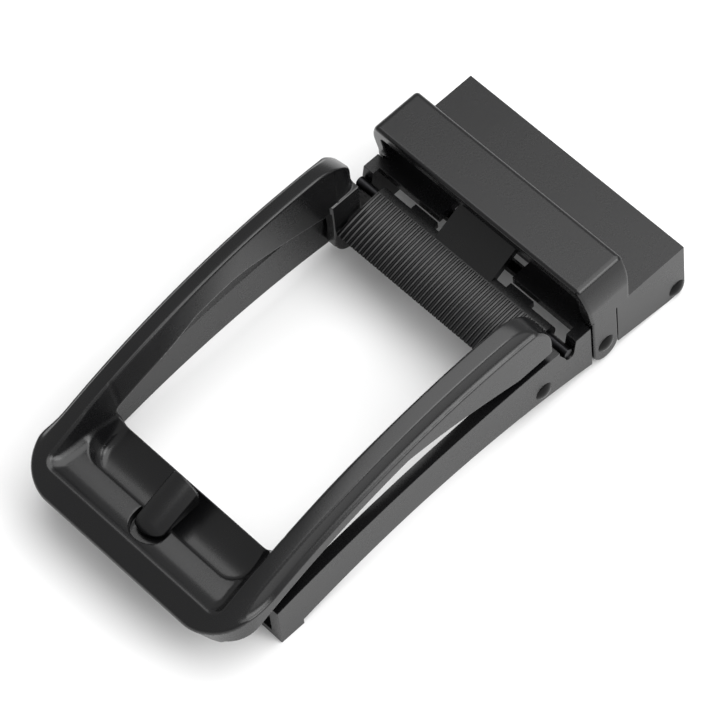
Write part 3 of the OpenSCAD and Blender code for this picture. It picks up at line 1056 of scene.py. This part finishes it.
@dataclass
class Ribs:
    """Ribs that run back to front over the pawl's apron, made by Geometry Nodes."""

    bench: Bench
    centre_d: float = 21.2
    centre_z: float = -12.4
    radius: float = 21.98
    start: float = 91.0
    sweep: float = 21.2
    count: int = 42
    pitch: float = 0.75
    rib_r: float = 0.27
    sides: int = 10
    steps: int = 14

    def tree(self) -> bpy.types.NodeTree:
        """Builds the node tree.

        Returns:
            The Geometry Nodes group, with a named input for each size.
        """
        group = bpy.data.node_groups.new("apron_ribs", "GeometryNodeTree")
        face = group.interface
        for name, kind in (
            ("Radius", "NodeSocketFloat"),
            ("Start Angle", "NodeSocketFloat"),
            ("Sweep Angle", "NodeSocketFloat"),
            ("Rib Radius", "NodeSocketFloat"),
            ("Pitch", "NodeSocketFloat"),
            ("Count", "NodeSocketInt"),
            ("Centre", "NodeSocketVector"),
            ("Material", "NodeSocketMaterial"),
        ):
            face.new_socket(name, in_out="INPUT", socket_type=kind)
        face.new_socket("Geometry", in_out="OUTPUT", socket_type="NodeSocketGeometry")
        given = group.nodes.new("NodeGroupInput").outputs
        add = group.nodes.new
        link = group.links.new
        arc = add("GeometryNodeCurveArc")
        arc.inputs["Resolution"].default_value = self.steps
        link(given["Radius"], arc.inputs["Radius"])
        link(given["Start Angle"], arc.inputs["Start Angle"])
        link(given["Sweep Angle"], arc.inputs["Sweep Angle"])
        upright = add("GeometryNodeTransform")
        upright.inputs["Rotation"].default_value = (math.pi / 2, 0, 0)
        link(arc.outputs["Curve"], upright.inputs["Geometry"])
        ring = add("GeometryNodeCurvePrimitiveCircle")
        ring.inputs["Resolution"].default_value = self.sides
        link(given["Rib Radius"], ring.inputs["Radius"])
        rib = add("GeometryNodeCurveToMesh")
        rib.inputs["Fill Caps"].default_value = True
        link(upright.outputs["Geometry"], rib.inputs["Curve"])
        link(ring.outputs["Curve"], rib.inputs["Profile Curve"])
        across = add("ShaderNodeCombineXYZ")
        link(given["Pitch"], across.inputs["Y"])
        line = add("GeometryNodeMeshLine")
        line.mode = "OFFSET"
        link(given["Count"], line.inputs["Count"])
        link(given["Centre"], line.inputs["Start Location"])
        link(across.outputs["Vector"], line.inputs["Offset"])
        spread = add("GeometryNodeInstanceOnPoints")
        link(line.outputs["Mesh"], spread.inputs["Points"])
        link(rib.outputs["Mesh"], spread.inputs["Instance"])
        real = add("GeometryNodeRealizeInstances")
        link(spread.outputs["Instances"], real.inputs["Geometry"])
        dress = add("GeometryNodeSetMaterial")
        link(real.outputs["Geometry"], dress.inputs["Geometry"])
        link(given["Material"], dress.inputs["Material"])
        link(dress.outputs["Geometry"], add("NodeGroupOutput").inputs["Geometry"])
        return group

    def build(self) -> None:
        """Builds the ribs as one plain mesh on the pawl."""
        group = self.tree()
        half = self.pitch * (self.count - 1) / 2
        centre = ((self.bench.total_l / 2 - self.centre_d) * MM, -half * MM, self.centre_z * MM)
        sizes = {
            "Radius": self.radius * MM,
            "Start Angle": math.radians(self.start),
            "Sweep Angle": math.radians(self.sweep),
            "Rib Radius": self.rib_r * MM,
            "Pitch": self.pitch * MM,
            "Count": self.count,
            "Centre": centre,
            "Material": self.bench.finishes.steel,
        }
        made = bpy.data.objects.new("apron_ribs", bpy.data.meshes.new("apron_ribs"))
        bpy.context.scene.collection.objects.link(made)
        grown = made.modifiers.new("ribs", "NODES")
        grown.node_group = group
        for item in group.interface.items_tree:
            if item.in_out == "INPUT":
                grown[item.identifier] = sizes[item.name]
        self.bench.bake(made).data.shade_smooth()
        self.bench.seat(made, Body.PAWL, Slot.BLACK_STEEL)


@dataclass
class Pawl:
    """The sprung pawl: its barrel, apron, ramp tongue and pads, with ribs over the apron."""

    bench: Bench
    edge_r: float = 0.16

    def build(self) -> None:
        """Builds the pawl in place of its node, and its ribs."""
        made = self.bench.rounded_copy("pawl", self.edge_r, self.bench.finishes.steel)
        self.bench.seat(made, Body.PAWL, Slot.BLACK_STEEL, "pawl")
        Ribs(self.bench).build()


@dataclass
class StrapJaw:
    """The toothed flap under the deck."""

    bench: Bench
    edge_r: float = 0.12

    def build(self) -> None:
        """Builds the flap in place of its node."""
        made = self.bench.rounded_copy("strap_jaw", self.edge_r, self.bench.finishes.steel)
        self.bench.seat(made, Body.JAW, Slot.BLACK_STEEL, "strap_jaw")


@dataclass
class Pins:
    """The three headed pins and the pawl's plain axle."""

    bench: Bench
    edge_r: float = 0.1

    def build(self) -> None:
        """Builds the pins and the axle in place of their nodes."""
        for node in ("keeper_pin", "frame_pin", "jaw_pin"):
            made = self.bench.rounded_copy(node, self.edge_r, self.bench.finishes.rivet)
            self.bench.seat(made, Body.BASE, Slot.BLACK_STEEL, node)
        made = self.bench.rounded_copy("pawl_axle", self.edge_r, self.bench.finishes.wire)
        self.bench.seat(made, Body.BASE, Slot.WIRE, "pawl_axle")


@dataclass(frozen=True)
class Lamp:
    """One square soft light that faces the part; metres and watts."""

    name: str
    place: tuple[float, float, float]
    size: float
    power: float

    def hang(self) -> None:
        """Adds the light to the scene."""
        data = bpy.data.lights.new(self.name, "AREA")
        data.size = self.size
        data.energy = self.power
        hung = bpy.data.objects.new(self.name, data)
        hung.location = self.place
        hung.rotation_euler = (-Vector(self.place)).to_track_quat("-Z", "Y").to_euler()
        bpy.context.scene.collection.objects.link(hung)


@dataclass
class Studio:
    """A pale floor, a white surround, two soft lights and the camera."""

    lamps: tuple[Lamp, ...] = (
        Lamp("overhead", (0.35, -0.2, 1.0), 1.4, 19.0),
        Lamp("side", (0.3, -1.1, 0.75), 0.8, 10.0),
    )
    target: tuple[float, float, float] = (1.256, -0.544, 8.0)
    distance: float = 641.2
    azimuth: float = -37.61
    elevation: float = 58.513
    roll: float = -7.499
    lens: float = 244.55
    sensor: float = 36.0
    surround: float = 0.55
    floor_half: float = 1.5
    floor_tone: float = 0.72
    floor_glow: float = 0.07
    floor_roughness: float = 0.9

    def camera(self) -> None:
        """Places the camera and makes it the scene's own."""
        turn, tip, roll = (math.radians(v) for v in (self.azimuth, self.elevation, self.roll))
        level_ahead = Vector((-math.sin(turn), math.cos(turn), 0))
        ahead = level_ahead * math.cos(tip) - Vector((0, 0, math.sin(tip)))
        level = ahead.cross(Vector((0, 0, 1))).normalized()
        rising = level.cross(ahead)
        right = level * math.cos(roll) + rising * math.sin(roll)
        up = rising * math.cos(roll) - level * math.sin(roll)
        place = (Vector(self.target) - ahead * self.distance) * MM
        data = bpy.data.cameras.new("camera")
        data.lens = self.lens
        data.sensor_width = self.sensor
        seen = bpy.data.objects.new("camera", data)
        facing = Matrix((right, up, -ahead)).transposed().to_4x4()
        seen.matrix_world = Matrix.Translation(place) @ facing
        bpy.context.scene.collection.objects.link(seen)
        bpy.context.scene.camera = seen

    def floor(self) -> None:
        """Lays the pale floor."""
        made = bmesh.new()
        bmesh.ops.create_grid(made, x_segments=8, y_segments=8, size=self.floor_half)
        mesh = bpy.data.meshes.new("floor")
        made.to_mesh(mesh)
        made.free()
        finish = bpy.data.materials.new("pale_floor")
        finish.use_nodes = True
        finish.node_tree.nodes.clear()
        tree = Tree(finish.node_tree)
        matte = tree.node(
            "BsdfPrincipled",
            Base_Color=(self.floor_tone, self.floor_tone, self.floor_tone, 1.0),
            Roughness=self.floor_roughness,
            Emission_Color=(1.0, 1.0, 1.0, 1.0),
            Emission_Strength=self.floor_glow,
        )
        tree.node("OutputMaterial", Surface=tree.out(matte))
        mesh.materials.append(finish)
        laid = bpy.data.objects.new("floor", mesh)
        bpy.context.scene.collection.objects.link(laid)
        laid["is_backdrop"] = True

    def light(self) -> None:
        """Lights the scene with a white surround and soft lights."""
        world = bpy.data.worlds.new("surround")
        world.use_nodes = True
        back = world.node_tree.nodes["Background"]
        back.inputs["Color"].default_value = (1.0, 1.0, 1.0, 1.0)
        back.inputs["Strength"].default_value = self.surround
        bpy.context.scene.world = world
        bpy.context.scene.view_settings.view_transform = "Standard"
        for lamp in self.lamps:
            lamp.hang()

    def build(self) -> None:
        """Builds the camera, the floor and the light."""
        self.camera()
        self.floor()
        self.light()


def main() -> None:
    """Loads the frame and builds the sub-assemblies in order."""
    logging.basicConfig(level=logging.INFO, format="%(name)s: %(message)s")
    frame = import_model()
    frame_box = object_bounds()
    total_l = round((frame_box[1][0] - frame_box[0][0]) / MM, 2)
    bench = Bench(frame, Finishes.build(), total_l)
    arch = Arch()
    Studio().build()
    for part in (
        BaseFrame(bench),
        KeeperLoop(bench),
        FrontFrame(bench, arch),
        Prong(bench, arch),
        Pawl(bench),
        StrapJaw(bench),
        Pins(bench),
    ):
        part.build()
        LOG.info("built the %s", type(part).__name__)


if __name__ == "__main__":
    main()
